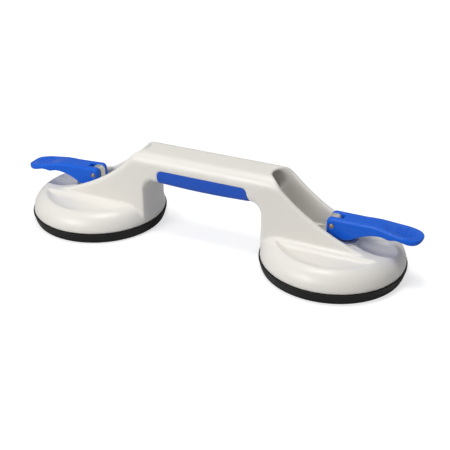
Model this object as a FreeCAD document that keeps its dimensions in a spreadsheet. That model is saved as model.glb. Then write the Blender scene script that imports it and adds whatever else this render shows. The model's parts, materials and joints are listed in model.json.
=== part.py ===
"""Two-cup suction lifter with cam levers, as a parametric FreeCAD document.

Frame: origin on the floor midway between the cups, +X along the handle, +Z up.
Each cup assembly is drawn once for the right cup and turned half a turn about Z for the left one.
At rest both levers are pressed down, so both pad centres are pulled up by the full stroke.
"""

import FreeCAD
import Part
import Sketcher
import math
import os
import re

doc = FreeCAD.newDocument("suction_lifter")
sheet = doc.addObject("Spreadsheet::Sheet", "Sizes")

DRIVING_SIZES = [
    # overall layout
    ("cup_spacing", 225.0, "distance between the two cup axes"),
    ("cup_radius", 60.0, "outer radius of the housing at its rim"),
    ("rim_height", 9.6, "underside of the housing rim above the floor"),
    ("deck_height", 26.5, "top of the cup cover above the floor"),
    ("shoulder_radius", 16.0, "rounding between cup wall and deck"),
    ("shell_wall", 3.6, "wall of the cup cover"),
    ("ceiling_height", 18.8, "inside ceiling of the cup cover above the floor"),
    ("hollow_shoulder", 8.4, "rounding between the hollow's wall and its ceiling"),
    ("overrun", 1.0, "how far a cutting or a joined piece runs past a face"),
    # handle and columns
    ("handle_width", 38.0, "width of the handle and of the columns"),
    ("handle_top", 76.5, "top of the handle above the floor"),
    ("handle_underside", 51.9, "underside of the handle at its ends"),
    ("handle_top_radius", 9.5, "rounding of the handle's top edges"),
    ("handle_bottom_radius", 7.0, "rounding of the handle's lower edges"),
    ("handle_belly", 1.8, "bulge of the handle's underside at its middle"),
    ("armpit_radius", 8.0, "rounding between handle underside and column"),
    ("column_edge_radius", 0.8, "rounding of the columns' inner edges"),
    ("tunnel_width", 26.0, "width of the core through the handle"),
    ("tunnel_low", 55.6, "bottom of the core through the handle"),
    ("tunnel_high", 74.2, "top of the core through the handle"),
    ("tunnel_corner", 8.5, "corner radius of the core through the handle"),
    # lever channel
    ("channel_width", 29.0, "width of the lever channel"),
    ("column_wall", 6.0, "wall between the channel's round end and the column's inner face"),
    ("channel_floor", 28.6, "floor of the lever channel above the ground"),
    ("brow_radius", 169.3, "radius of the curve cut down each column"),
    ("brow_reach", 33.0, "edge of the flat deck to the centre of that curve, outwards"),
    ("brow_rise", 190.0, "height of the centre of that curve"),
    ("rim_rounding", 1.5, "rounding of the channel's rim"),
    ("crest_rounding", 6.0, "rounding where the handle's top meets that curve"),
    ("brow_rounding", 2.0, "rounding of the column's outer edges along that curve"),
    # finger scoop outside the lever's heel
    ("scoop_reach", 41.0, "cup axis to the deepest point of the scoop"),
    ("scoop_low", 22.4, "deepest point of the scoop above the floor"),
    ("scoop_ring", 24.0, "ring radius of the scoop"),
    ("scoop_bore", 21.0, "tube radius of the scoop"),
    # crescent dishes beside the columns
    ("dish_inset", 6.0, "cup wall to the outer edge of the crescent dishes"),
    ("dish_offset", 20.8, "cup's middle plane to the straight side of a dish"),
    ("dish_low", 22.8, "floor of the dishes above the ground"),
    ("dish_sweep", 16.0, "concave rounding at a dish's outer edge"),
    ("dish_foot", 6.0, "concave rounding at a dish's straight side"),
    # grip
    ("grip_half_length", 40.8, "half the length of the grip insert at its top"),
    ("grip_lean", 4.5, "how far the grip's right end leans outwards"),
    ("grip_high", 64.4, "upper edge of the grip insert"),
    ("grip_corner", 4.5, "rounding of the grip's upper corners"),
    ("grip_thickness", 2.0, "thickness of the grip insert"),
    # lift mechanism
    ("pin_radius", 2.2, "radius of the lever pin"),
    ("stroke", 6.5, "travel of the pad's centre"),
    ("cam_locked", 11.4, "pin to cam face with the lever down"),
    ("cam_gap", 0.2, "running gap between cam and thrust plate"),
    ("plate_thickness", 1.5, "thickness of the thrust plate"),
    ("plate_length", 42.0, "length of the thrust plate"),
    ("plate_width", 25.0, "width of the thrust plate"),
    ("plate_corner", 11.0, "corner radius of the thrust plate"),
    ("eye_length", 10.4, "length of the eye bar, along the lever"),
    ("eye_thickness", 6.5, "thickness of the eye bar, along the pin"),
    ("eye_rise", 6.1, "top of the eye bar above the pin"),
    ("eye_low", 17.4, "lower end of the eye bar above the floor"),
    ("running_clearance", 0.05, "radial clearance of turning and sliding fits"),
    ("seat_clearance", 0.02, "clearance of pieces that seat in each other"),
    ("bush_radius", 8.0, "outer radius of the guide bush"),
    ("bush_flange_radius", 9.6, "radius of the guide bush's flange"),
    ("bush_flange", 1.2, "thickness of the guide bush's flange"),
    ("bush_low", 17.8, "lower end of the guide bush above the floor"),
    ("boss_radius", 10.6, "radius of the boss round the guide bush"),
    ("stud_radius", 2.0, "radius of the threaded stud"),
    ("stud_high", 29.0, "upper end of the threaded stud"),
    ("stud_end_clearance", 0.5, "upper end of the stud to the end of its bore"),
    ("nut_flats", 8.0, "lock nut across its flats"),
    ("nut_height", 3.0, "height of the lock nut"),
    ("hub_radius", 7.0, "radius of the pad plate's hub"),
    ("hub_high", 14.2, "top of the pad plate's hub above the floor"),
    ("disc_radius", 24.0, "radius of the pad plate"),
    ("disc_low", 9.0, "underside of the pad plate above the floor"),
    ("disc_thickness", 2.4, "thickness of the pad plate"),
    ("spring_radius", 12.4, "mean radius of the return spring"),
    ("spring_wire", 0.9, "radius of the return spring's wire"),
    ("spring_turns", 3.0, "turns of the return spring"),
    ("spring_pocket", 14.2, "radius of the pocket that seats the return spring"),
    ("plate_bore", 6.6, "radius of the hole in the thrust plate"),
    ("eye_corner", 4.0, "rounding of the eye bar's upper corners"),
    ("pin_edge", 0.5, "chamfer of the lever pin's ends"),
    ("rib_thickness", 2.0, "thickness of the ribs under the cup cover"),
    ("rib_low", 13.0, "lower edge of those ribs above the floor"),
    ("rib_start", 1.0, "spring pocket to the inner end of a rib"),
    ("rib_end", 2.0, "outer end of a rib to the cup cover's inner wall"),
    # rubber pad
    ("pad_overhang", 1.0, "rubber pad's outer edge beyond the cup wall"),
    ("pad_edge", 1.2, "height of the pad's upright outer edge"),
    ("pad_flare", 1.4, "how far the pad's flank widens up to that edge"),
    ("pad_flare_low", 3.2, "start of that widening above the floor"),
    ("pad_seat_inset", 1.0, "inner end of the pad's seat under the rim, inside the cup cover"),
    ("lip_inset", 3.0, "cup wall to the outer edge of the lip's contact ring"),
    ("lip_width", 2.5, "width of the lip's contact ring"),
    ("lip_flank", 1.6, "width of the lip's outer flank"),
    ("lip_flank_high", 0.9, "top of the lip's outer flank above the floor"),
    ("lip_toe", 1.5, "width of the lip's inner flank"),
    ("lip_toe_high", 1.2, "top of the lip's inner flank above the floor"),
    ("lip_root", 5.5, "contact ring to the lip's root, inwards"),
    ("lip_root_high", 3.0, "the lip's root above the floor"),
    ("web_outer", 0.5, "contact ring to the outer end of the web's top, inwards"),
    ("web_outer_drop", 2.0, "that end below the rim"),
    ("web_inner", 4.5, "contact ring to the lowest ring of the web's top, inwards"),
    ("web_inner_drop", 3.0, "that ring below the rim"),
    ("collar_foot", 10.0, "pad plate's rim to the foot of the rubber collar"),
    ("collar_wall", 4.0, "wall of the rubber collar at its top"),
    ("collar_height", 2.0, "height of the rubber collar"),
    ("cavity_height", 6.6, "height of the vacuum cavity with the pad pulled up"),
    ("cavity_flat", 6.0, "pad plate's rim to where the cavity narrows"),
    ("cavity_fall", 1.0, "fall of the cavity's ceiling up to there"),
    ("disc_clearance", 0.2, "rubber collar to the rim of the pad plate"),
    # lever
    ("lever_width", 18.0, "width of the lever at its fork"),
    ("paddle_width", 24.4, "width of the lever's paddle"),
    ("lever_reach", 72.2, "pin to the lever's tip"),
    ("lever_rise", 6.6, "flat top of the lever above the pin"),
    ("heel_reach", 11.5, "pin to the outer end of the cam's flat heel"),
    ("slot_width", 7.3, "width of the slot in the fork"),
    ("slot_reach", 7.8, "pin to the closed end of the slot"),
    ("fork_corner", 3.8, "rounding of the fork's upper inner corner"),
    ("lever_edge", 2.0, "rounding of the lever's top edges"),
    ("lever_lower_edge", 1.2, "rounding of the lever's lower edges"),
    ("thumb_reach", 56.0, "pin to the middle of the thumb dish"),
    ("thumb_height", 4.2, "paddle's top over the pin, at the middle of the thumb dish"),
    ("thumb_lean", 7.5, "slope of the paddle's top there, in degrees"),
    ("thumb_depth", 1.1, "depth of the thumb dish"),
    ("thumb_tube", 45.0, "tube radius of the thumb dish"),
    ("thumb_ring", 80.0, "ring radius of the thumb dish"),
    ("left_lever_drop", 3.0, "degrees that the left lever is pressed further down"),
]

RIBS = 8

# From the cup axis to the centre of the channel's round end.
CHANNEL_BACK = "(cup_radius - column_wall - channel_width / 2)"
# The lever pin above the floor: the locked cams stand just clear of the thrust plate.
PIN_HEIGHT = "(channel_floor + plate_thickness + cam_gap + cam_locked)"

for row, (alias, number, meaning) in enumerate(DRIVING_SIZES, start=1):
    sheet.set("A%d" % row, meaning)
    sheet.set("B%d" % row, str(number))
    sheet.setAlias("B%d" % row, alias)
doc.recompute()


def size(formula):
    """The value of a formula over the sheet's sizes, such as "cup_radius - shell_wall"."""
    result = sheet.evalExpression(formula)
    return float(getattr(result, "Value", result))


def on_sheet(formula):
    """The same formula as other objects of the document write it."""
    aliases = {alias for alias, _, _ in DRIVING_SIZES}
    return re.sub(r"[a-z_]+", lambda m: ("Sizes." if m[0] in aliases else "") + m[0], formula)


def bind(item, **formulas):
    """Binds properties to formulas; x, y and z are the placement's position."""
    for name, formula in formulas.items():
        path = "Placement.Base." + name if name in ("x", "y", "z") else name
        item.setExpression(path, on_sheet(formula))
    return item


def primitive(kind, name, turn=None, **formulas):
    """A Part primitive bound to the sheet, turned about an axis if turn is given."""
    item = doc.addObject("Part::" + kind, name)
    if turn:
        item.Placement = FreeCAD.Placement(FreeCAD.Vector(), FreeCAD.Rotation(*turn))
    bind(item, **formulas)
    return item


def fused(name, *items):
    """One solid of several that touch or overlap."""
    item = doc.addObject("Part::MultiFuse", name)
    item.Shapes = list(items)
    item.Refine = True
    return item


def common(name, first, second):
    """What two solids share."""
    item = doc.addObject("Part::MultiCommon", name)
    item.Shapes = [first, second]
    item.Refine = True
    return item


def cut(name, base, tool):
    """The first solid without the second."""
    item = doc.addObject("Part::Cut", name)
    item.Base = base
    item.Tool = tool
    item.Refine = True
    return item


def mirrored(name, source):
    """The source's mirror image in the plane midway between the cups."""
    item = doc.addObject("Part::Mirroring", name)
    item.Source = source
    item.Normal = (1, 0, 0)
    return item


def both_cups(name, source):
    """The source and its mirror image as one tool."""
    return fused(name, source, mirrored(name + "_mirror", source))


def rounded(name, source, radius, wanted):
    """Rounds the edges of source that wanted(edge) picks."""
    doc.recompute()
    item = doc.addObject("Part::Fillet", name)
    item.Base = source
    chosen = [i for i, edge in enumerate(source.Shape.Edges, start=1) if wanted(edge)]
    item.Edges = [(i, size(radius), size(radius)) for i in chosen]
    return item


def faded(name, source, radii, wanted):
    """Rounds edges with a radius that runs from radii(edge)[0] to radii(edge)[1] along each."""
    doc.recompute()
    item = doc.addObject("Part::Fillet", name)
    item.Base = source
    chosen = [(i, edge) for i, edge in enumerate(source.Shape.Edges, start=1) if wanted(edge)]
    item.Edges = [(i, *map(size, radii(edge))) for i, edge in chosen]
    return item


def near(a, b, slack=0.01):
    return abs(a - b) < slack


def along(edge, axis):
    """True for a straight edge parallel to an axis of the frame: 0 is X, 1 is Y, 2 is Z."""
    if edge.Curve.TypeId != "Part::GeomLine":
        return False
    return near(abs(edge.tangentAt(edge.FirstParameter)[axis]), 1.0, 1e-6)


def middle(edge):
    return edge.valueAt((edge.FirstParameter + edge.LastParameter) / 2)


def new_body(name):
    return doc.addObject("PartDesign::Body", name)


def new_sketch(body, name, plane):
    """A sketch on one of the body's own origin planes: XY_Plane, XZ_Plane or YZ_Plane."""
    sketch = body.newObject("Sketcher::SketchObject", name)
    support = [face for face in body.Origin.OriginFeatures if face.Role == plane][0]
    sketch.AttachmentSupport = [(support, "")]
    sketch.MapMode = "FlatFace"
    return sketch


def outline(sketch, corners):
    """A closed outline of straight sides; each corner is two formulas, across and up."""
    places = [FreeCAD.Vector(size(across), size(up), 0) for across, up in corners]
    first = sketch.GeometryCount
    last = first + len(corners) - 1
    for index, place in enumerate(places):
        sketch.addGeometry(Part.LineSegment(place, places[(index + 1) % len(places)]), False)
    for side in range(first, last + 1):
        following = first if side == last else side + 1
        sketch.addConstraint(Sketcher.Constraint("Coincident", side, 2, following, 1))
    for side, (across, up) in enumerate(corners, start=first):
        for kind, formula in (("DistanceX", across), ("DistanceY", up)):
            limit = Sketcher.Constraint(kind, -1, 1, side, 1, size(formula))
            number = sketch.addConstraint(limit)
            sketch.setExpression("Constraints[%d]" % number, on_sheet(formula))


def circle(sketch, across, up, radius):
    """A circle whose centre and radius follow formulas."""
    centre = FreeCAD.Vector(size(across), size(up), 0)
    normal = FreeCAD.Vector(0, 0, 1)
    ring = sketch.addGeometry(Part.Circle(centre, normal, size(radius)), False)
    places = [("DistanceX", across), ("DistanceY", up)]
    limits = [(Sketcher.Constraint(kind, -1, 1, ring, 3, size(f)), f) for kind, f in places]
    limits.append((Sketcher.Constraint("Radius", ring, size(radius)), radius))
    for limit, formula in limits:
        number = sketch.addConstraint(limit)
        sketch.setExpression("Constraints[%d]" % number, on_sheet(formula))


def revolved(name, corners):
    """A turned piece about Z: each corner is its radius and its height."""
    body = new_body(name)
    sketch = new_sketch(body, name + "_profile", "XZ_Plane")
    outline(sketch, corners)
    turned = body.newObject("PartDesign::Revolution", name + "_turned")
    turned.Profile = sketch
    turned.ReferenceAxis = (sketch, ["V_Axis"])
    turned.Angle = 360.0
    body.Tip = turned
    return body


def extruded(name, plane, length, draw, midplane=False):
    """A pad of a sketch that draw(sketch) fills in."""
    body = new_body(name)
    sketch = new_sketch(body, name + "_profile", plane)
    draw(sketch)
    pad = body.newObject("PartDesign::Pad", name + "_pad")
    pad.Profile = sketch
    pad.setExpression("Length", on_sheet(length))
    pad.Midplane = midplane
    body.Tip = pad
    return body


def body_fillet(body, name, radius, wanted):
    """Rounds the edges of a body's last feature that wanted(edge) picks."""
    doc.recompute()
    last = body.Tip
    fillet = body.newObject("PartDesign::Fillet", name)
    chosen = ["Edge%d" % i for i, edge in enumerate(last.Shape.Edges, start=1) if wanted(edge)]
    fillet.Base = (last, chosen)
    fillet.setExpression("Radius", on_sheet(radius))
    body.Tip = fillet
    return fillet


def is_ring(edge, radius, height):
    """True for a level circle of this radius at this height."""
    if edge.Curve.TypeId != "Part::GeomCircle":
        return False
    return near(edge.Curve.Radius, radius) and near(edge.Curve.Center.z, height)


# ---------------------------------------------------------------- body housing

def cup_cover():
    """The solid dome of one cup, on its own axis."""
    body = revolved("cup_cover", [
        ("0", "rim_height"),
        ("cup_radius", "rim_height"),
        ("cup_radius", "deck_height"),
        ("0", "deck_height"),
    ])
    body_fillet(body, "cup_cover_shoulder", "shoulder_radius",
                lambda e: is_ring(e, size("cup_radius"), size("deck_height")))
    return bind(body, x="cup_spacing / 2")


def cup_hollow():
    """The space under one cup cover, open at the floor, with a pocket for the spring."""
    body = revolved("cup_hollow", [
        ("boss_radius", "rim_height - overrun"),
        ("cup_radius - shell_wall", "rim_height - overrun"),
        ("cup_radius - shell_wall", "ceiling_height"),
        ("spring_pocket", "ceiling_height"),
        ("spring_pocket", "channel_floor - shell_wall"),
        ("boss_radius", "channel_floor - shell_wall"),
    ])
    body_fillet(body, "cup_hollow_shoulder", "hollow_shoulder",
                lambda e: is_ring(e, size("cup_radius - shell_wall"), size("ceiling_height")))
    below_boss = primitive("Cylinder", "below_boss", Radius="boss_radius + overrun",
                           Height="bush_low - rim_height + overrun", z="rim_height - overrun")
    hollow = fused("cup_hollow_and_boss_end", body, below_boss)
    return bind(hollow, x="cup_spacing / 2")


def upper_block():
    """The handle and both columns before the curve is cut down them."""
    block = primitive("Box", "block",
                      Length="cup_spacing + 2 * scoop_reach", Width="handle_width",
                      Height="handle_top - rim_height",
                      x="-cup_spacing / 2 - scoop_reach", y="-handle_width / 2", z="rim_height")
    crowned = rounded("block_crown", block, "handle_top_radius",
                      lambda e: along(e, 0) and near(middle(e).z, size("handle_top")))
    opening = primitive("Box", "opening_block", Length="cup_spacing", Width="2 * handle_width",
                        Height="handle_top", x="-cup_spacing / 2", y="-handle_width")
    columns = both_cups("column_faces", primitive(
        "Cylinder", "column_face", Radius="cup_radius", Height="handle_top", x="cup_spacing / 2"))
    half_span = "(cup_spacing / 2 - cup_radius)"
    belly_radius = "((%s ^ 2 + handle_belly ^ 2) / (2 * handle_belly))" % half_span
    belly = primitive("Cylinder", "belly_roll", turn=(FreeCAD.Vector(1, 0, 0), 90),
                      Radius=belly_radius, Height="2 * handle_width",
                      y="handle_width", z="handle_underside - handle_belly + " + belly_radius)
    walls = fused("opening_walls", columns, belly)
    opening_cut = cut("opening_between_columns", opening, walls)
    corner = size(half_span)
    hand_opening = rounded(
        "hand_opening", opening_cut, "armpit_radius",
        lambda e: near(middle(e).z, size("handle_underside"), 0.5) and near(abs(middle(e).x), corner, 1))
    arch = cut("arch", crowned, hand_opening)
    return faded("arch_with_soft_grip", arch, lower_edge_radii, is_lower_edge)


def is_lower_edge(edge):
    """True for the handle's lower edges and the columns' inner edges, on both sides."""
    place = middle(edge)
    column = "cup_spacing / 2 - sqrt(cup_radius ^ 2 - (handle_width / 2) ^ 2)"
    on_side = near(abs(place.y), size("handle_width / 2"))
    return on_side and abs(place.x) < size(column) + 0.1 and place.z < size("tunnel_low")


def lower_edge_radii(edge):
    """Full rounding under the handle, fading through the armpit to the column's crisp edge."""
    start, end = [vertex.Point for vertex in edge.Vertexes]
    if abs(middle(edge).x) < 1:
        return "handle_bottom_radius", "handle_bottom_radius"
    if along(edge, 2):
        return "column_edge_radius", "column_edge_radius"
    if abs(start.x) < abs(end.x):
        return "column_edge_radius", "handle_bottom_radius"
    return "handle_bottom_radius", "column_edge_radius"


def brow_cut():
    """What the long curve takes off one column, down to the deck, where its foot stands."""
    centre = "cup_spacing / 2 + cup_radius - shoulder_radius + brow_reach"
    roll = primitive("Cylinder", "brow_roll", turn=(FreeCAD.Vector(1, 0, 0), 90),
                     Radius="brow_radius", Height="2 * handle_width",
                     x=centre, y="handle_width", z="brow_rise")
    above_deck = primitive("Box", "above_deck", Length="2 * brow_radius", Width="2 * handle_width",
                           Height="brow_rise", x=centre + " - brow_radius",
                           y="-handle_width", z="deck_height")
    return common("brow", roll, above_deck)


def channel_cut():
    """The lever channel: a round-ended slot, open outwards."""
    slot = primitive("Box", "channel_slot", Length=CHANNEL_BACK + " + 2 * scoop_reach",
                     Width="channel_width", Height="handle_top",
                     x="cup_spacing / 2 - " + CHANNEL_BACK, y="-channel_width / 2",
                     z="channel_floor")
    round_end = primitive("Cylinder", "channel_end", Radius="channel_width / 2",
                          Height="handle_top", x="cup_spacing / 2 - " + CHANNEL_BACK,
                          z="channel_floor")
    return fused("channel", slot, round_end)


def scoop_cut():
    """The hollow under the lever's paddle that makes room for fingers, as wide as the channel."""
    ring = primitive("Torus", "scoop_ring", turn=(FreeCAD.Vector(1, 0, 0), 90),
                     Radius1="scoop_ring", Radius2="scoop_bore",
                     x="cup_spacing / 2 + scoop_reach", z="scoop_low + scoop_ring + scoop_bore")
    lane = primitive("Box", "scoop_lane", Length="scoop_ring + scoop_bore", Width="channel_width",
                     Height="scoop_ring", x="cup_spacing / 2 + plate_length / 2",
                     y="-channel_width / 2", z="scoop_low - overrun")
    return common("scoop", ring, lane)


def dish_cut():
    """The crescent dish on the near side of one cup."""
    disc = primitive("Cylinder", "dish_disc", Radius="cup_radius - dish_inset", Height="2 * dish_sweep",
                     x="cup_spacing / 2", z="dish_low")
    bowl = rounded("dish_bowl", disc, "dish_sweep",
                   lambda e: is_ring(e, size("cup_radius - dish_inset"), size("dish_low")))
    side = primitive("Box", "dish_side", Length="2 * cup_radius", Width="cup_radius",
                     Height="2 * dish_sweep", x="cup_spacing / 2 - cup_radius",
                     y="-cup_radius - dish_offset", z="dish_low")
    lane = rounded("dish_lane", side, "dish_foot", lambda e: along(e, 0)
                   and near(middle(e).z, size("dish_low")) and near(middle(e).y, -size("dish_offset")))
    return common("dish", bowl, lane)


def dishes():
    """All four crescent dishes."""
    near_pair = both_cups("near_dishes", dish_cut())
    far_pair = doc.addObject("Part::Mirroring", "far_dishes")
    far_pair.Source = near_pair
    far_pair.Normal = (0, 1, 0)
    return fused("dishes", near_pair, far_pair)


def tunnel_cut():
    """The core through the handle, which opens into both channels."""
    block = primitive("Box", "tunnel_block", Length="cup_spacing - 2 * " + CHANNEL_BACK,
                      Width="tunnel_width", Height="tunnel_high - tunnel_low",
                      x="-cup_spacing / 2 + " + CHANNEL_BACK, y="-tunnel_width / 2", z="tunnel_low")
    return rounded("tunnel", block, "tunnel_corner", lambda e: along(e, 0))


def grip_zone():
    """The side outline of the grip, through the whole handle; its right end leans outwards."""
    low = "handle_underside - 2 * handle_belly"

    def draw(sketch):
        outline(sketch, [
            ("-grip_half_length", low),
            ("grip_half_length + grip_lean", low),
            ("grip_half_length", "grip_high"),
            ("-grip_half_length", "grip_high"),
        ])

    block = extruded("grip_outline", "XZ_Plane", "2 * handle_width", draw, midplane=True)
    body_fillet(block, "grip_outline_corners", "grip_corner",
                lambda e: along(e, 1) and near(middle(e).z, size("grip_high")))
    return block


def grip_core():
    """The part of the handle that the grip wraps."""
    block = primitive("Box", "core_block", Length="4 * grip_half_length",
                      Width="handle_width - 2 * grip_thickness",
                      Height="handle_top", x="-2 * grip_half_length",
                      y="-handle_width / 2 + grip_thickness",
                      z="handle_underside + grip_thickness")
    return rounded("core", block, "handle_bottom_radius - grip_thickness",
                   lambda e: along(e, 0) and near(middle(e).z, size("handle_underside + grip_thickness")))


def ribs():
    """Radial ribs under one cup cover."""
    blades = []
    for number in range(RIBS):
        blade = primitive("Box", "rib_%d" % number, Width="rib_thickness",
                          Length="cup_radius - shell_wall - rib_end - spring_pocket - rib_start",
                          Height="ceiling_height + overrun - rib_low")
        angle = (number + 0.5) * 360.0 / RIBS
        turned = FreeCAD.Rotation(FreeCAD.Vector(0, 0, 1), angle)
        corner = FreeCAD.Vector(size("spring_pocket + rib_start"), -size("rib_thickness / 2"), 0)
        start = turned.multVec(corner)
        blade.Placement = FreeCAD.Placement(start, turned)
        bind(blade, z="rib_low")
        blades.append(blade)
    return bind(fused("ribs", *blades), x="cup_spacing / 2")


def bush_seat():
    """The stepped bore that the guide bush is pressed into, from above."""
    bore = primitive("Cylinder", "bush_bore", Radius="bush_radius + seat_clearance",
                     Height="channel_floor", x="cup_spacing / 2")
    recess = primitive("Cylinder", "flange_recess", Radius="bush_flange_radius + seat_clearance",
                       Height="bush_flange + overrun", x="cup_spacing / 2",
                       z="channel_floor - bush_flange")
    return fused("bush_seat", bore, recess)


def crest_edges(shape):
    """Edges of the long curve's surface, each with the radii at its two ends."""
    top = size("handle_top")
    side = size("handle_width / 2")
    armpit = size("cup_spacing / 2 - cup_radius - armpit_radius")
    chosen = []
    for number, edge in enumerate(shape.Edges, start=1):
        place = middle(edge)
        if abs(place.x) < armpit or place.z < size("deck_height + overrun"):
            continue
        if along(edge, 1) and near(place.z, top):
            chosen.append((number, "crest_rounding", "crest_rounding"))
        elif near(abs(place.y), side) and edge.Curve.TypeId == "Part::GeomCircle":
            chosen.append((number, "brow_rounding", "brow_rounding"))
        elif place.z > top - size("handle_top_radius") and edge.Curve.TypeId == "Part::GeomBSplineCurve":
            rising = edge.Vertexes[-1].Point.z > edge.Vertexes[0].Point.z
            ends = ("brow_rounding", "crest_rounding")
            chosen.append((number, *(ends if rising else ends[::-1])))
    return chosen


def on_channel_wall(point):
    """True for a point of either lever channel's vertical wall."""
    end_centre = size("cup_spacing / 2 - " + CHANNEL_BACK)
    half = size("channel_width / 2")
    past_end = abs(point.x) - end_centre
    if past_end >= 0:
        return near(abs(point.y), half, 0.02)
    return near(math.hypot(past_end, point.y), half, 0.02)


def is_rim(edge):
    """True for the edges where the channel's wall meets the long curve and the handle's top."""
    if along(edge, 2) or middle(edge).z < size("channel_floor + overrun"):
        return False
    ends = [vertex.Point for vertex in edge.Vertexes]
    return all(on_channel_wall(point) for point in ends + [middle(edge)])


def body_housing():
    """The moulding: both cup covers, both columns and the handle, in one piece."""
    arch = upper_block()
    browed = cut("browed_arch", arch, both_cups("brows", brow_cut()))
    doc.recompute()
    crested = doc.addObject("Part::Fillet", "crested_arch")
    crested.Base = browed
    crested.Edges = [(number, size(a), size(b)) for number, a, b in crest_edges(browed.Shape)]
    covered = fused("covered", crested, both_cups("cup_covers", cup_cover()))
    channelled = cut("channelled", covered, both_cups("channels", channel_cut()))
    rimmed = rounded("rimmed", channelled, "rim_rounding", is_rim)
    scooped = cut("scooped", rimmed, both_cups("scoops", scoop_cut()))
    dished = cut("dished", scooped, dishes())
    cored = cut("cored", dished, tunnel_cut())
    hollowed = cut("hollowed", cored, both_cups("cup_hollows", cup_hollow()))
    ribbed = fused("ribbed", hollowed, both_cups("all_ribs", ribs()))
    return cut("bored", ribbed, both_cups("bush_seats", bush_seat()))


def body_and_grip():
    """The moulding with its grip recess, and the grip insert that fills it."""
    whole = body_housing()
    wrap = cut("grip_wrap", grip_zone(), grip_core())
    return cut("body_housing", whole, wrap), common("grip_insert", whole, wrap)


# ---------------------------------------------------------------- pieces of one cup
# Each of these is drawn on its cup's own axis, with +X pointing outwards.

def rubber_pad():
    """The flexible pad: a sealing lip, a thin web and a collar round the pad plate."""
    lip_inside = "cup_radius - lip_inset - lip_width"
    return revolved("rubber_pad", [
        ("0", "cavity_height"),
        ("disc_radius + cavity_flat", "cavity_height - cavity_fall"),
        (lip_inside + " - lip_root", "lip_root_high"),
        (lip_inside + " - lip_toe", "lip_toe_high"),
        (lip_inside, "0"),
        ("cup_radius - lip_inset", "0"),
        ("cup_radius - lip_inset + lip_flank", "lip_flank_high"),
        ("cup_radius + pad_overhang - pad_flare", "pad_flare_low"),
        ("cup_radius + pad_overhang", "rim_height - pad_edge"),
        ("cup_radius + pad_overhang", "rim_height"),
        ("cup_radius - shell_wall - pad_seat_inset", "rim_height"),
        (lip_inside + " - web_outer", "rim_height - web_outer_drop"),
        (lip_inside + " - web_inner", "rim_height - web_inner_drop"),
        ("disc_radius + collar_foot", "disc_low"),
        ("disc_radius + collar_wall", "disc_low + collar_height"),
        ("disc_radius + disc_clearance", "disc_low + collar_height"),
        ("disc_radius + disc_clearance", "disc_low"),
        ("0", "disc_low"),
    ])


def pad_plate():
    """The pressed steel disc and hub that hold the middle of the pad."""
    return revolved("pad_plate", [
        ("stud_radius + seat_clearance", "disc_low"),
        ("disc_radius", "disc_low"),
        ("disc_radius", "disc_low + disc_thickness"),
        ("hub_radius", "disc_low + disc_thickness"),
        ("hub_radius", "hub_high"),
        ("stud_radius + seat_clearance", "hub_high"),
    ])


def pull_stud():
    """The threaded stud between the pad plate and the eye."""
    return primitive("Cylinder", "pull_stud", Radius="stud_radius", Height="stud_high - disc_low",
                     z="disc_low")


def lock_nut():
    """The nut that locks the stud against the hub."""
    block = primitive("Prism", "nut_block", Circumradius="nut_flats / sqrt(3)",
                      Height="nut_height", z="hub_high")
    block.Polygon = 6
    bore = primitive("Cylinder", "nut_bore", Radius="stud_radius + seat_clearance",
                     Height="hub_high + 2 * nut_height")
    return cut("lock_nut", block, bore)


def pull_eye():
    """The flat bar that hangs from the lever pin and pulls the stud."""
    bar = primitive("Box", "eye_bar", Length="eye_length", Width="eye_thickness",
                    Height=PIN_HEIGHT + " + eye_rise - eye_low", x="-eye_length / 2",
                    y="-eye_thickness / 2", z="eye_low")
    topped = rounded("eye_top", bar, "eye_corner",
                     lambda e: along(e, 1) and near(middle(e).z, size(PIN_HEIGHT + " + eye_rise")))
    eye = primitive("Cylinder", "eye_hole", turn=(FreeCAD.Vector(1, 0, 0), 90),
                    Radius="pin_radius + running_clearance", Height="2 * eye_thickness",
                    y="eye_thickness", z=PIN_HEIGHT)
    bore = primitive("Cylinder", "eye_bore", Radius="stud_radius + seat_clearance",
                     Height="stud_high + stud_end_clearance")
    return cut("pull_eye", topped, fused("eye_holes", eye, bore))


def guide_bush():
    """The flanged bush that keeps the eye bar upright."""
    barrel = primitive("Cylinder", "bush_barrel", Radius="bush_radius",
                       Height="channel_floor - bush_low", z="bush_low")
    flange = primitive("Cylinder", "bush_flange_ring", Radius="bush_flange_radius",
                       Height="bush_flange", z="channel_floor - bush_flange")
    passage = primitive("Box", "bush_passage", Length="eye_length + 2 * running_clearance",
                        Width="eye_thickness + 2 * running_clearance",
                        Height="channel_floor", x="-eye_length / 2 - running_clearance",
                        y="-eye_thickness / 2 - running_clearance", z="bush_low / 2")
    return cut("guide_bush", fused("bush_blank", barrel, flange), passage)


def thrust_plate():
    """The steel plate on the channel floor that both cams of a lever press on."""
    block = primitive("Box", "plate_block", Length="plate_length", Width="plate_width",
                      Height="plate_thickness", x="-plate_length / 2", y="-plate_width / 2",
                      z="channel_floor")
    plate = rounded("plate_outline", block, "plate_corner", lambda e: along(e, 2))
    hole = primitive("Cylinder", "plate_hole", Radius="plate_bore", Height="2 * channel_floor")
    return cut("thrust_plate", plate, hole)


def return_spring():
    """The coil spring that pushes the pad down when the lever is raised."""
    radius = size("spring_radius")
    wire = size("spring_wire")
    low = size("disc_low + disc_thickness") + wire
    rise = size("channel_floor - shell_wall") - wire - low
    arcs = int(size("spring_turns")) * 4
    places = []
    for step in range(2 * arcs + 1):
        angle = step * math.pi / 4
        height = low + rise * step / (2 * arcs)
        places.append(FreeCAD.Vector(radius * math.cos(angle), radius * math.sin(angle), height))
    runs = [Part.Arc(*places[2 * arc:2 * arc + 3]).toShape() for arc in range(arcs)]
    start = runs[0].tangentAt(runs[0].FirstParameter)
    section = Part.Face(Part.Wire([Part.makeCircle(wire, places[0], start)]))
    spring = doc.addObject("Part::Feature", "return_spring")
    spring.Shape = Part.Wire(runs).makePipe(section)
    return spring


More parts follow.
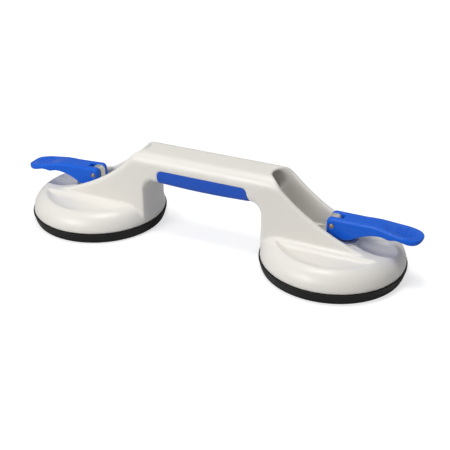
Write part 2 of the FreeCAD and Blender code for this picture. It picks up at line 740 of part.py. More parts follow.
def lever_pin():
    """The pin through the fork and the eye, flush with the fork's sides."""
    pin = primitive("Cylinder", "pin_rod", turn=(FreeCAD.Vector(1, 0, 0), 90),
                    Radius="pin_radius", Height="lever_width", y="lever_width / 2")
    doc.recompute()
    chamfer = doc.addObject("Part::Chamfer", "lever_pin")
    chamfer.Base = pin
    rings = [i for i, e in enumerate(pin.Shape.Edges, start=1) if e.Curve.TypeId == "Part::GeomCircle"]
    chamfer.Edges = [(i, size("pin_edge"), size("pin_edge")) for i in rings]
    return chamfer


# The lever is drawn about its pin. Its cam is an involute: the face's distance from the pin
# falls evenly with the lever's angle, so the pad's centre drops evenly too.
# Stations are distance from the pin outwards and height over the pin.
LEVER_UNDERSIDE = [(16.5, -9.0), (22.0, -6.0), (27.0, -3.7), (32.0, -2.0), (37.5, -0.8),
                   (42.0, -0.6), (46.8, -1.4), (49.5, -0.9), (52.5, -0.2), (56.0, -0.3),
                   (60.5, -1.2), (65.0, -1.7), (69.0, -1.3)]
LEVER_BACK = [(70.9, 2.4), (66.0, 3.0), (60.0, 3.7), (53.0, 4.6), (44.0, 5.9), (36.0, 6.8),
              (30.0, 6.9), (24.0, 6.6)]
LEVER_TIP_RISE = 0.8
# Stations of the paddle's half width, from where it starts to widen to near its tip.
PADDLE_SIDE = [(28.0, 9.0), (35.0, 9.4), (45.0, 10.6), (55.0, 11.9), (60.0, 12.2),
               (65.5, 11.3), (69.5, 8.6), (71.6, 5.0)]


def cam_point(angle):
    """The point of the cam that faces down with the lever raised by angle (radians)."""
    per_radian = size("stroke") / (math.pi / 2)
    drop = math.radians(size("left_lever_drop"))
    distance = size("cam_locked") - per_radian * (angle + drop)
    across = -distance * math.sin(angle) + per_radian * math.cos(angle)
    up = -distance * math.cos(angle) - per_radian * math.sin(angle)
    return FreeCAD.Vector(across, 0, up)


def through(points):
    """A smooth curve through points."""
    curve = Part.BSplineCurve()
    curve.interpolate(points)
    return curve.toShape()


def lever_side():
    """The lever's side outline, in the XZ plane."""
    drop = math.radians(size("left_lever_drop"))
    steps = 14
    angles = [math.pi / 2 - (math.pi / 2 + drop) * step / steps for step in range(steps + 1)]
    cam = [cam_point(angle) for angle in angles]
    inner, foot = cam[0], cam[-1]
    heel_run = size("heel_reach") - foot.x
    heel = FreeCAD.Vector(size("heel_reach"), 0, foot.z + heel_run * math.tan(drop))
    tip = FreeCAD.Vector(size("lever_reach"), 0, LEVER_TIP_RISE)
    under = [FreeCAD.Vector(x, 0, z) for x, z in LEVER_UNDERSIDE]
    back = [FreeCAD.Vector(x, 0, z) for x, z in LEVER_BACK]
    corner = size("fork_corner")
    top = size("lever_rise")
    corner_start = FreeCAD.Vector(inner.x + corner, 0, top)
    corner_end = FreeCAD.Vector(inner.x, 0, top - corner)
    diagonal = corner * (1 - math.sqrt(0.5))
    corner_middle = FreeCAD.Vector(inner.x + diagonal, 0, top - diagonal)
    edges = [
        through(cam),
        Part.makeLine(foot, heel),
        through([heel] + under + [tip]),
        through([tip] + back),
        Part.makeLine(back[-1], corner_start),
        Part.Arc(corner_start, corner_middle, corner_end).toShape(),
        Part.makeLine(corner_end, inner),
    ]
    return Part.Face(Part.Wire(edges))


def lever_plan():
    """The lever's outline seen from above, in the XY plane."""
    near_side = [FreeCAD.Vector(x, -half, 0) for x, half in PADDLE_SIDE]
    far_side = [FreeCAD.Vector(x, half, 0) for x, half in reversed(PADDLE_SIDE)]
    tip = FreeCAD.Vector(size("lever_reach"), 0, 0)
    half = size("lever_width / 2")
    start = FreeCAD.Vector(-half, -half, 0)
    end = FreeCAD.Vector(-half, half, 0)
    edges = [
        Part.makeLine(start, near_side[0]),
        through(near_side + [tip] + far_side),
        Part.makeLine(far_side[-1], end),
        Part.makeLine(end, start),
    ]
    return Part.Face(Part.Wire(edges))


def swept(name, face, direction, length):
    """A face extruded to both sides along direction by a formula's length in all."""
    outline_item = doc.addObject("Part::Feature", name + "_outline")
    outline_item.Shape = face
    item = doc.addObject("Part::Extrusion", name)
    item.Base = outline_item
    item.DirMode = "Custom"
    item.Dir = direction
    item.Solid = True
    bind(item, LengthFwd="(%s) / 2" % length, LengthRev="(%s) / 2" % length)
    return item


def lever_edge_radius(edge):
    """The rounding of an edge of the lever's blank, as a list of one size or of none."""
    place = middle(edge)
    if along(edge, 1) or along(edge, 2):
        return []
    if place.z > size("fork_corner") / 2:
        return ["lever_edge"]
    if place.x > size("heel_reach"):
        return ["lever_lower_edge"]
    return []


def lever():
    """The cam lever: a fork with two cams, a shank and a dished paddle."""
    side = swept("lever_side", lever_side(), FreeCAD.Vector(0, 1, 0), "2 * paddle_width")
    plan = swept("lever_plan", lever_plan(), FreeCAD.Vector(0, 0, 1), "4 * cam_locked")
    blank = common("lever_blank", side, plan)
    doc.recompute()
    soft = doc.addObject("Part::Fillet", "lever_soft_edges")
    soft.Base = blank
    soft.Edges = [(number, size(radius), size(radius))
                  for number, edge in enumerate(blank.Shape.Edges, start=1)
                  for radius in lever_edge_radius(edge)]
    slot = primitive("Box", "fork_slot", Length="4 * slot_reach", Width="slot_width",
                     Height="4 * cam_locked", x="-3 * slot_reach", y="-slot_width / 2",
                     z="-2 * cam_locked")
    hole = primitive("Cylinder", "fork_hole", turn=(FreeCAD.Vector(1, 0, 0), 90),
                     Radius="pin_radius", Height="2 * lever_width", y="lever_width")
    reach = "(thumb_ring + thumb_tube)"
    dish = primitive("Torus", "thumb_dish", turn=(FreeCAD.Vector(1, 0, 0), 90),
                     Radius1="thumb_ring", Radius2="thumb_tube",
                     x="thumb_reach + %s * sin(thumb_lean * 1 deg)" % reach,
                     z="thumb_height - thumb_depth + %s * cos(thumb_lean * 1 deg)" % reach)
    return cut("lever", soft, fused("lever_cuts", slot, hole, dish))


# ---------------------------------------------------------------- assembly

def placed(item, name, side, height="0", tilt=0.0):
    """Labels a piece drawn on a cup's axis and puts it on the right or the left cup."""
    turn = FreeCAD.Rotation(FreeCAD.Vector(0, 0, 1), 0 if side == "right" else 180)
    lean = FreeCAD.Rotation(FreeCAD.Vector(0, 1, 0), tilt)
    lift = item.Placement.Base.z
    item.Placement = FreeCAD.Placement(FreeCAD.Vector(0, 0, lift), turn * lean * item.Placement.Rotation)
    bind(item, x="cup_spacing / 2" if side == "right" else "-cup_spacing / 2")
    if height != "0":
        bind(item, z=height)
    item.Label = name + "_" + side
    return item


housing, grip = body_and_grip()
nodes = [housing, grip]
for side in ("right", "left"):
    for draw in (rubber_pad, pad_plate, pull_stud, lock_nut, pull_eye, guide_bush,
                 thrust_plate, return_spring):
        nodes.append(placed(draw(), draw.__name__, side))
    tilt = size("left_lever_drop") if side == "left" else 0.0
    for draw in (lever_pin, lever):
        nodes.append(placed(draw(), draw.__name__, side, height=PIN_HEIGHT, tilt=tilt))
doc.recompute()

for item in doc.Objects:
    if "Invalid" in item.State or "Error" in item.State:
        raise RuntimeError("%s did not build: %s" % (item.Label, item.State))
os.makedirs("parts", exist_ok=True)
for item in nodes:
    shape = item.Shape
    if shape.isNull() or not shape.isValid():
        raise RuntimeError("%s has no valid shape" % item.Label)
    shape.exportStep("parts/%s.step" % item.Label)
    box = shape.BoundBox
    print("%-20s %9.0f mm3  x %.1f..%.1f  y %.1f..%.1f  z %.1f..%.1f  %d solid(s)" % (
        item.Label, shape.Volume, box.XMin, box.XMax, box.YMin, box.YMax, box.ZMin, box.ZMax,
        len(shape.Solids)))
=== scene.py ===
"""Looks of the two-cup suction lifter: finishes, soft edges, thumb grips, pads, springs and studio.

Units are metres, in the frame of the CAD model: the floor is z = 0, the handle runs along X, and
each cup's axis stands at x = +-CUP_AXIS. Every size is read from the frame or named below.
"""

import json
import math

import bmesh
import bpy
from mathutils import Matrix, Vector


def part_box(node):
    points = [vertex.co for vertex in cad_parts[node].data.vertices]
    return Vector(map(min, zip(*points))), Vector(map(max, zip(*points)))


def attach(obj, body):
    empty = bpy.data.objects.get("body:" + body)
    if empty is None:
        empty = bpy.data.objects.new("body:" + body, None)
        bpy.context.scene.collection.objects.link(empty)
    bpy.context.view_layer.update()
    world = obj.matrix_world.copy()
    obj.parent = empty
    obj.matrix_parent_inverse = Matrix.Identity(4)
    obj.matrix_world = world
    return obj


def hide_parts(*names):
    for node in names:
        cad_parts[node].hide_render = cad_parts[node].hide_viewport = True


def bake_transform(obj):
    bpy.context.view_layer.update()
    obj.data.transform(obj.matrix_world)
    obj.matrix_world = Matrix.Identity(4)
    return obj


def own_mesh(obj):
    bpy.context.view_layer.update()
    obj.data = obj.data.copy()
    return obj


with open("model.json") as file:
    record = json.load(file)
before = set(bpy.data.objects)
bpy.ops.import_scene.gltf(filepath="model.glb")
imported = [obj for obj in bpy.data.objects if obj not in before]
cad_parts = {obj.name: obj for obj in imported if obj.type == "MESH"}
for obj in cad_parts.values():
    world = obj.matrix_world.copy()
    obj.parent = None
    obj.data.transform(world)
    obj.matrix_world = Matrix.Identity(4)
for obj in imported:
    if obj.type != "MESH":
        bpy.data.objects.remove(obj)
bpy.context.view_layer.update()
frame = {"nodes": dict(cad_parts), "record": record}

MM = 0.001
SIDES = {"right": 1.0, "left": -1.0}
CUP_AXIS = (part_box("pad_plate_right")[0][0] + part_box("pad_plate_right")[1][0]) / 2
PIN_HEIGHT = (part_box("lever_pin_right")[0][2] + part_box("lever_pin_right")[1][2]) / 2


# ------------------------------------------------------------------ node groups shared by finishes

# Where a colour mix node keeps its factor, its two colours and its result.
MIX_FACTOR = 0
MIX_FIRST = 6
MIX_SECOND = 7
MIX_RESULT = 2

# How much rougher a fully worn edge is.
WORN_ROUGHNESS = 0.25


def linked(tree, source, output, target, socket):
    tree.links.new(source.outputs[output], target.inputs[socket])


def new_group(name, inputs, outputs):
    """An empty shader group with float inputs, given as {name: default}, and outputs {name: type}."""
    group = bpy.data.node_groups.new(name, "ShaderNodeTree")
    for title, default in inputs.items():
        kind = "NodeSocketColor" if isinstance(default, tuple) else "NodeSocketFloat"
        socket = group.interface.new_socket(title, in_out="INPUT", socket_type=kind)
        socket.default_value = default
    for title, kind in outputs.items():
        group.interface.new_socket(title, in_out="OUTPUT", socket_type=kind)
    return group, group.nodes.new("NodeGroupInput"), group.nodes.new("NodeGroupOutput")


def noise(tree, scale, detail, rough=0.5, stretch=(1, 1, 1)):
    """A noise texture on Object coordinates, stretched per axis."""
    place = tree.nodes.new("ShaderNodeTexCoord")
    mapping = tree.nodes.new("ShaderNodeMapping")
    mapping.inputs["Scale"].default_value = stretch
    texture = tree.nodes.new("ShaderNodeTexNoise")
    texture.inputs["Scale"].default_value = scale
    texture.inputs["Detail"].default_value = detail
    texture.inputs["Roughness"].default_value = rough
    linked(tree, place, "Object", mapping, "Vector")
    linked(tree, mapping, "Vector", texture, "Vector")
    return texture


def ranged(tree, source, output, low, high, to_low, to_high):
    """Maps low..high of a value to to_low..to_high."""
    node = tree.nodes.new("ShaderNodeMapRange")
    node.inputs["From Min"].default_value = low
    node.inputs["From Max"].default_value = high
    node.inputs["To Min"].default_value = to_low
    node.inputs["To Max"].default_value = to_high
    linked(tree, source, output, node, "Value")
    return node


def combined(tree, operation, *terms):
    """A math node; each term is a number or a (node, output) pair."""
    node = tree.nodes.new("ShaderNodeMath")
    node.operation = operation
    for socket, term in enumerate(terms):
        if isinstance(term, tuple):
            linked(tree, term[0], term[1], node, socket)
        else:
            node.inputs[socket].default_value = term
    return node


def mixed_colour(group, amount, given, other, result):
    """Mixes the group's Colour towards another of its colours and puts the mix out."""
    mix = group.nodes.new("ShaderNodeMix")
    mix.data_type = "RGBA"
    linked(group, amount, "Value", mix, MIX_FACTOR)
    linked(group, given, "Colour", mix, MIX_FIRST)
    linked(group, given, other, mix, MIX_SECOND)
    linked(group, mix, MIX_RESULT, result, "Colour")


def moulded_surface():
    """Fine grain of a moulding tool: a height for bump, and roughness that drifts softly."""
    group, given, result = new_group(
        "moulded_surface", {"Grain": 1.0, "Roughness": 0.4, "Drift": 0.06},
        {"Height": "NodeSocketFloat", "Roughness": "NodeSocketFloat"})
    grain = noise(group, scale=2600, detail=3, rough=0.6)
    waves = noise(group, scale=45, detail=2)
    depth = combined(group, "MULTIPLY", (grain, "Fac"), (given, "Grain"))
    linked(group, depth, "Value", result, "Height")
    centred = ranged(group, waves, "Fac", 0.3, 0.7, -1, 1)
    drift = combined(group, "MULTIPLY_ADD", (centred, "Result"), (given, "Drift"), (given, "Roughness"))
    linked(group, drift, "Value", result, "Roughness")
    return group


def tone_drift():
    """A base colour that varies a little from place to place, as moulded and handled surfaces do."""
    group, given, result = new_group(
        "tone_drift", {"Colour": (0.5, 0.5, 0.5, 1.0), "Shade": (0.4, 0.4, 0.4, 1.0), "Amount": 0.3},
        {"Colour": "NodeSocketColor"})
    clouds = noise(group, scale=28, detail=4, rough=0.55)
    share = ranged(group, clouds, "Fac", 0.35, 0.75, 0, 1)
    amount = combined(group, "MULTIPLY", (share, "Result"), (given, "Amount"))
    mixed_colour(group, amount, given, "Shade", result)
    return group


def drawn_metal():
    """Fine lines left by turning or drawing metal, along one axis of the object."""
    group, given, result = new_group(
        "drawn_metal", {"Lines": 1.0, "Roughness": 0.3},
        {"Height": "NodeSocketFloat", "Roughness": "NodeSocketFloat"})
    lines = noise(group, scale=2400, detail=3, rough=0.5, stretch=(1, 0.03, 1))
    height = combined(group, "MULTIPLY", (lines, "Fac"), (given, "Lines"))
    linked(group, height, "Value", result, "Height")
    centred = ranged(group, lines, "Fac", 0.3, 0.7, -0.01, 0.01)
    total = combined(group, "ADD", (centred, "Result"), (given, "Roughness"))
    linked(group, total, "Value", result, "Roughness")
    return group


def worn_and_sheened_edges():
    """Where hands and floors rub and where outer edges catch the light: a broken-up mask along outer
    edges that lightens the finish, as wear and as painted sheen, and roughens it.
    """
    group, given, result = new_group(
        "worn_and_sheened_edges", {"Colour": (0.5, 0.5, 0.5, 1.0), "Worn": (0.6, 0.6, 0.6, 1.0),
                          "Roughness": 0.4, "Amount": 0.3},
        {"Colour": "NodeSocketColor", "Roughness": "NodeSocketFloat"})
    mask = group.nodes.new("ShaderNodeAttribute")
    mask.attribute_name = "wear_and_sheen_mask"
    breakup = noise(group, scale=260, detail=5, rough=0.65)
    patches = ranged(group, breakup, "Fac", 0.38, 0.62, 0.15, 1)
    share = combined(group, "MULTIPLY", (mask, "Fac"), (patches, "Result"))
    amount = combined(group, "MULTIPLY", (share, "Value"), (given, "Amount"))
    mixed_colour(group, amount, given, "Worn", result)
    duller = combined(group, "MULTIPLY_ADD", (amount, "Value"), WORN_ROUGHNESS, (given, "Roughness"))
    linked(group, duller, "Value", result, "Roughness")
    return group


SURFACE = moulded_surface()
TONE = tone_drift()
METAL_LINES = drawn_metal()
WEAR_AND_SHEEN = worn_and_sheened_edges()


def placed_group(tree, group, **values):
    node = tree.nodes.new("ShaderNodeGroup")
    node.node_tree = group
    for title, value in values.items():
        node.inputs[title].default_value = value
    return node


def finish(name, colour, shade, amount=0.3, roughness=0.4, grain=1.0, bump=0.02, drift=0.06,
           metallic=0.0, specular=0.5, lines=None, worn_and_sheen=None, wear_and_sheen=0.3):
    """A material: plain plastics and rubber by default, drawn metal where lines is given."""
    material = bpy.data.materials.new(name)
    material.use_nodes = True
    tree = material.node_tree
    shader = tree.nodes["Principled BSDF"]
    tone = placed_group(tree, TONE, Colour=(*colour, 1), Shade=(*shade, 1), Amount=amount)
    if lines is None:
        surface = placed_group(tree, SURFACE, Grain=grain, Roughness=roughness, Drift=drift)
    else:
        surface = placed_group(tree, METAL_LINES, Lines=lines, Roughness=roughness)
    # Lightens outer edges towards the worn colour: partly rubbed wear, partly painted sheen where edges
    # catch the light.
    worn_and_sheened = placed_group(tree, WEAR_AND_SHEEN, Worn=(*(worn_and_sheen or shade), 1), Amount=wear_and_sheen)
    linked(tree, tone, "Colour", worn_and_sheened, "Colour")
    linked(tree, surface, "Roughness", worn_and_sheened, "Roughness")
    linked(tree, worn_and_sheened, "Colour", shader, "Base Color")
    linked(tree, worn_and_sheened, "Roughness", shader, "Roughness")
    relief = tree.nodes.new("ShaderNodeBump")
    relief.inputs["Strength"].default_value = 1.0
    relief.inputs["Distance"].default_value = bump * MM
    linked(tree, surface, "Height", relief, "Height")
    linked(tree, relief, "Normal", shader, "Normal")
    shader.inputs["Metallic"].default_value = metallic
    shader.inputs["Specular IOR Level"].default_value = specular
    return material


# Each worn colour is lighter than its finish and goes on outer edges: partly rubbed wear, partly painted
# edge sheen.
BODY_GREY = finish("body_grey", (0.80, 0.775, 0.725), (0.755, 0.73, 0.68), roughness=0.34, bump=0.012,
                   worn_and_sheen=(0.86, 0.84, 0.80), wear_and_sheen=0.5)
GRIP_BLUE = finish("grip_blue", (0.008, 0.085, 0.52), (0.006, 0.068, 0.44), roughness=0.46, bump=0.03,
                   specular=0.35, worn_and_sheen=(0.02, 0.13, 0.60), wear_and_sheen=0.5)
LEVER_BLUE = finish("lever_blue", (0.008, 0.118, 0.68), (0.006, 0.100, 0.60), roughness=0.24,
                    bump=0.004, drift=0.03, specular=0.2, worn_and_sheen=(0.02, 0.15, 0.72), wear_and_sheen=0.3)
RUBBER = finish("pad_rubber", (0.006, 0.006, 0.006), (0.013, 0.013, 0.012), amount=0.6,
                roughness=0.48, bump=0.03, specular=0.25, worn_and_sheen=(0.035, 0.034, 0.032), wear_and_sheen=0.6)
BRONZED = finish("bronzed_steel", (0.42, 0.31, 0.22), (0.30, 0.21, 0.14), metallic=0.9, roughness=0.28,
                 lines=1.0, bump=0.0015, worn_and_sheen=(0.62, 0.52, 0.42))
ZINC = finish("zinc_plated_steel", (0.74, 0.73, 0.69), (0.60, 0.59, 0.56), metallic=0.85,
              roughness=0.36, lines=1.0, bump=0.0015, worn_and_sheen=(0.88, 0.87, 0.85))
BUSH_WHITE = finish("bush_white", (0.78, 0.77, 0.73), (0.70, 0.69, 0.65), roughness=0.38,
                    worn_and_sheen=(0.84, 0.83, 0.80))
SPRING_STEEL = finish("spring_steel", (0.42, 0.42, 0.43), (0.3, 0.3, 0.31), metallic=1.0,
                      roughness=0.28, lines=0.6, bump=0.0015, worn_and_sheen=(0.6, 0.6, 0.6))

FINISHES = {
    "body_housing": BODY_GREY, "grip_insert": GRIP_BLUE, "rubber_pad": RUBBER, "lever": LEVER_BLUE,
    "lever_pin": BRONZED, "pull_eye": ZINC, "thrust_plate": ZINC, "guide_bush": BUSH_WHITE,
    "pull_stud": ZINC, "lock_nut": ZINC, "pad_plate": ZINC, "return_spring": SPRING_STEEL,
}


# ------------------------------------------------------------------ pieces

BODY_OF = {}
for body_name, members in frame["record"]["behaviour"]["bodies"].items():
    for member in members:
        BODY_OF[member] = body_name


def kind_of(node):
    for side in SIDES:
        if node.endswith("_" + side):
            return node[:-len(side) - 1]
    return node


WEAR_AND_SHEEN_RADIUS = 2.0 * MM


def mark_wear_and_sheen(form):
    """Stores on each point how sharply the surface turns outwards, from 0 to 1: the mask for edge wear
    and painted edge sheen.
    """
    form.normal_update()
    layer = form.verts.layers.float.new("wear_and_sheen_mask")
    for vert in form.verts:
        bend = sum(edge.calc_face_angle_signed(0.0) * edge.calc_length() for edge in vert.link_edges)
        area = sum(face.calc_area() for face in vert.link_faces)
        vert[layer] = min(1.0, max(0.0, bend * WEAR_AND_SHEEN_RADIUS / area)) if area else 0.0


def settled(piece, node, rides=True):
    """The last steps of every piece: its finish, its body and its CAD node."""
    piece.data.materials.clear()
    piece.data.materials.append(FINISHES[kind_of(node)])
    if rides:
        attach(piece, BODY_OF[node])
    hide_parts(node)
    return piece


def new_piece(name, mesh):
    piece = bpy.data.objects.new(name, mesh)
    bpy.context.scene.collection.objects.link(piece)
    return piece


def evaluated_mesh(piece):
    """What the piece's modifiers make of it, as a plain mesh."""
    graph = bpy.context.evaluated_depsgraph_get()
    return bpy.data.meshes.new_from_object(piece.evaluated_get(graph))


SMOOTHING = 0.5


def moulded_copy(node, grid, passes, kept=1.0):
    """The node's shape on an even mesh, softened as a moulding is and thinned to a share of its faces."""
    piece = new_piece(node + "_finished", frame["nodes"][node].data.copy())
    even = piece.modifiers.new("even", "REMESH")
    even.mode = "VOXEL"
    even.voxel_size = grid
    soft = piece.modifiers.new("soft", "SMOOTH")
    soft.factor = SMOOTHING
    soft.iterations = passes
    if kept < 1:
        thin = piece.modifiers.new("thin", "DECIMATE")
        thin.ratio = kept
    mesh = evaluated_mesh(piece)
    piece.modifiers.clear()
    form = bmesh.new()
    form.from_mesh(mesh)
    mark_wear_and_sheen(form)
    for face in form.faces:
        face.smooth = True
    form.to_mesh(mesh)
    form.free()
    piece.data = mesh
    return settled(piece, node)


CREASE = math.radians(32)
MERGE_DISTANCE = 0.002 * MM
BEVEL_SEGMENTS = 3


def merged_form(node):
    """The node's mesh with its points merged and its creases marked, for editing."""
    form = bmesh.new()
    form.from_mesh(frame["nodes"][node].data)
    bmesh.ops.remove_doubles(form, verts=form.verts, dist=MERGE_DISTANCE)
    for face in form.faces:
        face.smooth = True
    for edge in form.edges:
        edge.smooth = edge.calc_face_angle(0.0) < CREASE
    mark_wear_and_sheen(form)
    return form


def as_mesh(form, name):
    mesh = bpy.data.meshes.new(name)
    form.to_mesh(mesh)
    form.free()
    return mesh


def soften(piece, width):
    """A fine bevel along the piece's creases."""
    bevel = piece.modifiers.new("soft_edges", "BEVEL")
    bevel.width = width
    bevel.segments = BEVEL_SEGMENTS
    bevel.limit_method = "ANGLE"
    bevel.angle_limit = CREASE
    return bevel


def machined_copy(node, soft_edge):
    """The node's own shape with fine bevels along its creases."""
    name = node + "_finished"
    piece = new_piece(name, as_mesh(merged_form(node), name))
    soften(piece, soft_edge).harden_normals = True
    return settled(piece, node)


# How far a pin's ends stand proud, how deep an end reaches, and its dome as steps inwards and outwards.
HEAD_RISE = 0.35 * MM
HEAD_DEPTH = 0.6 * MM
HEAD_RINGS = [(0.45 * MM, 0.22 * MM), (0.50 * MM, 0.13 * MM), (0.45 * MM, 0.05 * MM)]


def pin_copy(node, soft_edge):
    """The lever pin with both ends set a little proud of the fork and rounded over."""
    name = node + "_finished"
    form = merged_form(node)
    low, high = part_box(node)
    for end, face_y in ((-1, low[1]), (1, high[1])):
        for vert in form.verts:
            if abs(vert.co.y - face_y) < HEAD_DEPTH:
                vert.co.y += end * HEAD_RISE
        form.normal_update()
        flat = [face for face in form.faces if face.normal.y * end > 0.99]
        cap = bmesh.ops.dissolve_faces(form, faces=flat)["region"]
        for inward, outward in HEAD_RINGS:
            bmesh.ops.inset_individual(form, faces=cap, thickness=inward, depth=outward)
    for face in form.faces:
        face.smooth = True
    piece = new_piece(name, as_mesh(form, name))
    soften(piece, soft_edge)
    return settled(piece, node)


def spring_copy(node):
    """The return spring as a finished copy of its node, which rides on no body and keeps its shape."""
    name = node + "_finished"
    piece = settled(new_piece(name, as_mesh(merged_form(node), name)), node, rides=False)
    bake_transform(piece)


# Where the pad's fixed sealing ring ends and its web begins.
LIP_RADIUS = 53.9 * MM


def pad_parts(node, side):
    """The rubber pad as its fixed sealing ring and its web, each closed over its cut and riding on the
    pad's body; the web keeps a mesh of its own.
    """
    centre = Vector((SIDES[side] * CUP_AXIS, 0, 0))
    for part, is_web in (("ring", False), ("web", True)):
        form = merged_form(node)
        inner = [face for face in form.faces
                 if any((v.co.xy - centre.xy).length < LIP_RADIUS for v in face.verts)]
        outer = [face for face in form.faces if face not in set(inner)]
        bmesh.ops.delete(form, geom=outer if is_web else inner, context="FACES")
        rims = [edge for edge in form.edges if edge.is_boundary]
        bmesh.ops.bridge_loops(form, edges=rims)
        bmesh.ops.recalc_face_normals(form, faces=form.faces)
        name = "%s_%s" % (node, part)
        piece = settled(new_piece(name, as_mesh(form, name)), node)
        if is_web:
            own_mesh(piece)


# Even meshes: the size of their grid, how often they are softened, and the share of faces kept.
MOULDINGS = {
    "body_housing": (0.85 * MM, 8, 0.5), "grip_insert": (0.7 * MM, 2), "lever": (0.4 * MM, 10),
}
SOFT_EDGES = {
    "lever_pin": 0.3 * MM, "pull_eye": 0.25 * MM, "thrust_plate": 0.2 * MM, "guide_bush": 0.2 * MM,
    "pull_stud": 0.2 * MM, "lock_nut": 0.2 * MM, "pad_plate": 0.2 * MM,
}
for node in frame["nodes"]:
    kind = kind_of(node)
    side = node.rpartition("_")[2]
    if kind in MOULDINGS:
        moulded_copy(node, *MOULDINGS[kind])
    elif kind == "return_spring":
        spring_copy(node)
    elif kind == "rubber_pad":
        pad_parts(node, side)
    elif kind == "lever_pin":
        pin_copy(node, SOFT_EDGES[kind])
    else:
        machined_copy(node, SOFT_EDGES[kind])


# ------------------------------------------------------------------ thumb dots on the levers

DOT_FLATNESS = 0.6
DROP_LENGTH = 0.1


def thumb_dots_tree():
    """Small domes in a diamond grid inside an oval, dropped on to a target's upper face."""
    tree = bpy.data.node_groups.new("thumb_dots", "GeometryNodeTree")
    tree.interface.new_socket("Geometry", in_out="INPUT", socket_type="NodeSocketGeometry")
    for title, default in (("Pitch", 2.5 * MM), ("Dot Radius", 0.8 * MM), ("Half Length", 8.4 * MM),
                           ("Half Width", 7.2 * MM)):
        size = tree.interface.new_socket(title, in_out="INPUT", socket_type="NodeSocketFloat")
        size.default_value = default
    count = tree.interface.new_socket("Count", in_out="INPUT", socket_type="NodeSocketInt")
    count.default_value = 15
    tree.interface.new_socket("Centre", in_out="INPUT", socket_type="NodeSocketVector")
    tree.interface.new_socket("Lever", in_out="INPUT", socket_type="NodeSocketObject")
    tree.interface.new_socket("Finish", in_out="INPUT", socket_type="NodeSocketMaterial")
    tree.interface.new_socket("Geometry", in_out="OUTPUT", socket_type="NodeSocketGeometry")

    def node(kind, **settings):
        made = tree.nodes.new(kind)
        for title, value in settings.items():
            setattr(made, title, value)
        return made

    def link(source, output, target, socket):
        linked(tree, source, output, target, socket)

    given = node("NodeGroupInput")
    result = node("NodeGroupOutput")
    fewer = combined(tree, "SUBTRACT", (given, "Count"), 1.0)
    extent = combined(tree, "MULTIPLY", (fewer, "Value"), (given, "Pitch"))
    grid = node("GeometryNodeMeshGrid")
    for socket in ("Size X", "Size Y"):
        link(extent, "Value", grid, socket)
    for socket in ("Vertices X", "Vertices Y"):
        link(given, "Count", grid, socket)
    diamond = node("GeometryNodeTransform")
    diamond.inputs["Rotation"].default_value = (0, 0, math.radians(45))
    link(grid, "Mesh", diamond, "Geometry")

    place = node("GeometryNodeInputPosition")
    apart = node("ShaderNodeSeparateXYZ")
    link(place, "Position", apart, "Vector")
    squares = []
    for axis, half in (("X", "Half Length"), ("Y", "Half Width")):
        share = combined(tree, "DIVIDE", (apart, axis), (given, half))
        squares.append((combined(tree, "POWER", (share, "Value"), 2.0), "Value"))
    distance = combined(tree, "ADD", *squares)
    outside = combined(tree, "GREATER_THAN", (distance, "Value"), 1.0)
    oval = node("GeometryNodeDeleteGeometry", domain="POINT")
    link(diamond, "Geometry", oval, "Geometry")
    link(outside, "Value", oval, "Selection")
    moved = node("GeometryNodeTransform")
    link(oval, "Geometry", moved, "Geometry")
    link(given, "Centre", moved, "Translation")

    target = node("GeometryNodeObjectInfo", transform_space="RELATIVE")
    link(given, "Lever", target, "Object")
    drop = node("GeometryNodeRaycast")
    drop.inputs["Ray Direction"].default_value = (0, 0, -1)
    drop.inputs["Ray Length"].default_value = DROP_LENGTH
    link(target, "Geometry", drop, "Target Geometry")
    landed = node("GeometryNodeSetPosition")
    link(moved, "Geometry", landed, "Geometry")
    link(drop, "Is Hit", landed, "Selection")
    link(drop, "Hit Position", landed, "Position")

    dome = node("GeometryNodeMeshUVSphere")
    dome.inputs["Segments"].default_value = 16
    dome.inputs["Rings"].default_value = 8
    link(given, "Dot Radius", dome, "Radius")
    flattened = node("GeometryNodeTransform")
    flattened.inputs["Scale"].default_value = (1, 1, DOT_FLATNESS)
    link(dome, "Mesh", flattened, "Geometry")
    studded = node("GeometryNodeInstanceOnPoints")
    link(landed, "Geometry", studded, "Points")
    link(flattened, "Geometry", studded, "Instance")
    real = node("GeometryNodeRealizeInstances")
    link(studded, "Instances", real, "Geometry")
    painted = node("GeometryNodeSetMaterial")
    link(real, "Geometry", painted, "Geometry")
    link(given, "Finish", painted, "Material")
    link(painted, "Geometry", result, "Geometry")
    return tree


THUMB_TREE = thumb_dots_tree()
# The thumb grip's middle, outwards from the pin, and the height that the dots are dropped from.
THUMB_REACH = 57.5 * MM
ABOVE_LEVER = 30 * MM


def thumb_dots(side):
    """The dots of one lever's thumb grip, as one plain mesh that rides on the lever."""
    lever = bpy.data.objects["lever_%s_finished" % side]
    piece = new_piece("thumb_dots_" + side, bpy.data.meshes.new("thumb_dots_" + side))
    maker = piece.modifiers.new("thumb_dots", "NODES")
    maker.node_group = THUMB_TREE
    sockets = {item.name: item.identifier for item in THUMB_TREE.interface.items_tree
               if item.in_out == "INPUT"}
    maker[sockets["Centre"]] = (SIDES[side] * (CUP_AXIS + THUMB_REACH), 0.0, PIN_HEIGHT + ABOVE_LEVER)
    maker[sockets["Lever"]] = lever
    maker[sockets["Finish"]] = LEVER_BLUE
    mesh = evaluated_mesh(piece)
    piece.modifiers.clear()
    for polygon in mesh.polygons:
        polygon.use_smooth = True
    piece.data = mesh
    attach(piece, BODY_OF["lever_" + side])


for side in SIDES:
    thumb_dots(side)


# ------------------------------------------------------------------ floor, light and camera

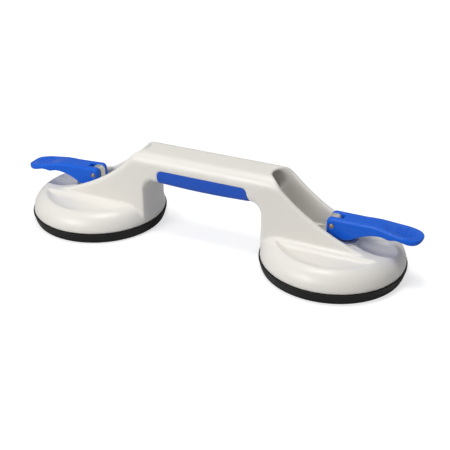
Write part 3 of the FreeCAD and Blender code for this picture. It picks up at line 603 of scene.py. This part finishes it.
def floor_material(name, colour, near_glow, near, far):
    """A white floor: it keeps the object's shadow, and glows up to plain white farther out."""
    material = bpy.data.materials.new(name)
    material.use_nodes = True
    tree = material.node_tree
    shader = tree.nodes["Principled BSDF"]
    shader.inputs["Base Color"].default_value = (*colour, 1)
    shader.inputs["Roughness"].default_value = 0.9
    shader.inputs["Specular IOR Level"].default_value = 0.1
    shader.inputs["Emission Color"].default_value = (1, 1, 1, 1)
    place = tree.nodes.new("ShaderNodeTexCoord")
    distance = tree.nodes.new("ShaderNodeVectorMath")
    distance.operation = "LENGTH"
    linked(tree, place, "Object", distance, 0)
    glow = ranged(tree, distance, "Value", near, far, near_glow, 1.0)
    seen = tree.nodes.new("ShaderNodeLightPath")
    strength = combined(tree, "MULTIPLY", (glow, "Result"), (seen, "Is Camera Ray"))
    linked(tree, strength, "Value", shader, "Emission Strength")
    return material


FLOOR_HALF = 6.0
FLOOR_TONE = 0.62
# The floor's glow close to the object, and the distances over which it rises to plain white.
NEAR_GLOW = 0.62
GLOW_STARTS = 0.3
GLOW_FULL = 0.8
floor_mesh = bpy.data.meshes.new("floor")
floor_mesh.from_pydata([(-FLOOR_HALF, -FLOOR_HALF, 0), (FLOOR_HALF, -FLOOR_HALF, 0),
                        (FLOOR_HALF, FLOOR_HALF, 0), (-FLOOR_HALF, FLOOR_HALF, 0)],
                       [], [(0, 1, 2, 3)])
floor = bpy.data.objects.new("floor", floor_mesh)
floor.data.materials.append(floor_material("floor_white", (FLOOR_TONE, FLOOR_TONE, FLOOR_TONE),
                                           NEAR_GLOW, GLOW_STARTS, GLOW_FULL))
bpy.context.scene.collection.objects.link(floor)

world = bpy.data.worlds.new("studio")
bpy.context.scene.world = world
world.use_nodes = True
sky = world.node_tree.nodes["Background"]
sky.inputs["Color"].default_value = (1, 1, 1, 1)
rays = world.node_tree.nodes.new("ShaderNodeLightPath")
level = world.node_tree.nodes.new("ShaderNodeMapRange")
WORLD_LEVEL = 0.28
level.inputs["To Min"].default_value = WORLD_LEVEL
level.inputs["To Max"].default_value = 1.0
linked(world.node_tree, rays, "Is Camera Ray", level, "Value")
linked(world.node_tree, level, "Result", sky, "Strength")


def softbox(name, place, target, width, height, power):
    """A rectangular studio light at place, facing target."""
    lamp = bpy.data.lights.new(name, "AREA")
    lamp.shape = "RECTANGLE"
    lamp.size = width
    lamp.size_y = height
    lamp.energy = power
    holder = bpy.data.objects.new(name, lamp)
    holder.location = place
    aim = Vector(target) - Vector(place)
    holder.rotation_euler = aim.to_track_quat("-Z", "Y").to_euler()
    bpy.context.scene.collection.objects.link(holder)


AIM = (0, 0, 0.03)
softbox("key", (-0.5, -1.2, 0.75), AIM, 0.8, 0.6, 10.6)
softbox("top", (0.0, -0.08, 0.85), AIM, 0.34, 0.28, 3.0)
softbox("back", (0.2, 1.0, 1.2), AIM, 1.2, 0.7, 1.8)

# The camera stands right of the handle's middle and looks down at it.
CAMERA_PLACE = Vector((0.285703, -0.578210, 0.356600))
CAMERA_AZIMUTH = 25.124
CAMERA_ELEVATION = 28.058
CAMERA_ROLL = 0.131
CAMERA_LENS = 66.91
CAMERA_SENSOR = 36
turn = math.radians(CAMERA_AZIMUTH)
tilt = math.radians(CAMERA_ELEVATION)
roll = math.radians(CAMERA_ROLL)
back = Vector((math.sin(turn) * math.cos(tilt), -math.cos(turn) * math.cos(tilt), math.sin(tilt)))
right = Vector((math.cos(turn), math.sin(turn), 0))
up = back.cross(right)
rolled_right = right * math.cos(roll) + up * math.sin(roll)
rolled_up = up * math.cos(roll) - right * math.sin(roll)
camera_data = bpy.data.cameras.new("camera")
camera_data.lens = CAMERA_LENS
camera_data.sensor_width = CAMERA_SENSOR
camera = bpy.data.objects.new("camera", camera_data)
facing = Matrix((rolled_right, rolled_up, back)).transposed().to_4x4()
camera.matrix_world = Matrix.Translation(CAMERA_PLACE) @ facing
bpy.context.scene.collection.objects.link(camera)
bpy.context.scene.camera = camera
bpy.context.scene.view_settings.view_transform = "Standard"
